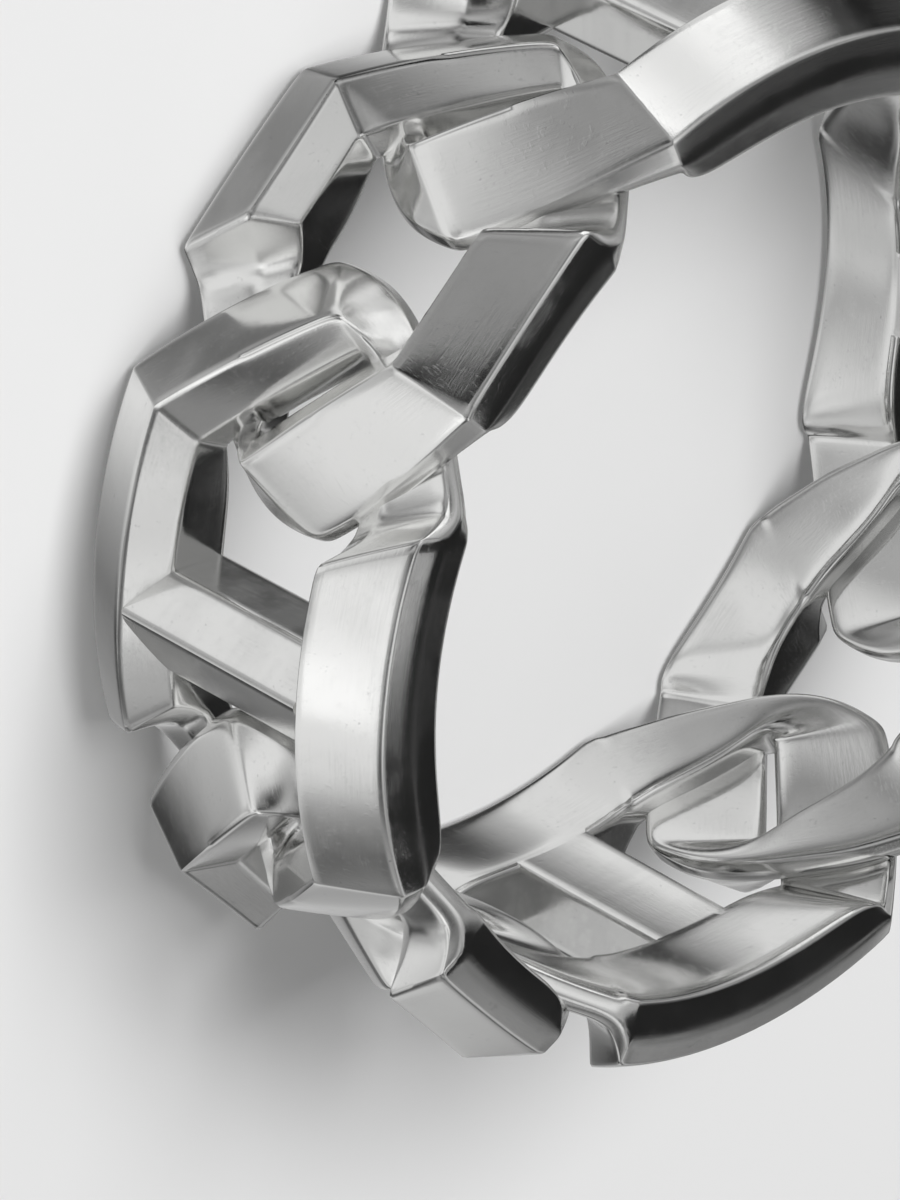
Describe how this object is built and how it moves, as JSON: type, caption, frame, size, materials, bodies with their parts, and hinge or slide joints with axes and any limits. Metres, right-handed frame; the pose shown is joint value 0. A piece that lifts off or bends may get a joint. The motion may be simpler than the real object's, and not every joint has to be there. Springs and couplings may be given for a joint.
{
  "type": "chain link ring",
  "caption": "Chunky silver finger ring of interlocked, roof-shaped curb links in a closed circle, long links with a crossbar between short open ones.",
  "frame": {"origin": "on the ring's axis at its lower rim, where the ring rests", "axes": "+Z along the ring's axis, up as the ring lies on its side; +X from the axis to the middle of long_link_1"},
  "size_m": [0.0246, 0.0246, 0.0088],
  "materials": {
    "silver": "polished silver with fine brushing along the bevels and soft wear on the ridges"
  },
  "bodies": {
    "root": {"long_link_1": "silver", "short_link_2": "silver", "long_link_3": "silver", "short_link_4": "silver", "long_link_5": "silver", "short_link_6": "silver", "long_link_7": "silver", "short_link_8": "silver"}
  },
  "joints": []
}
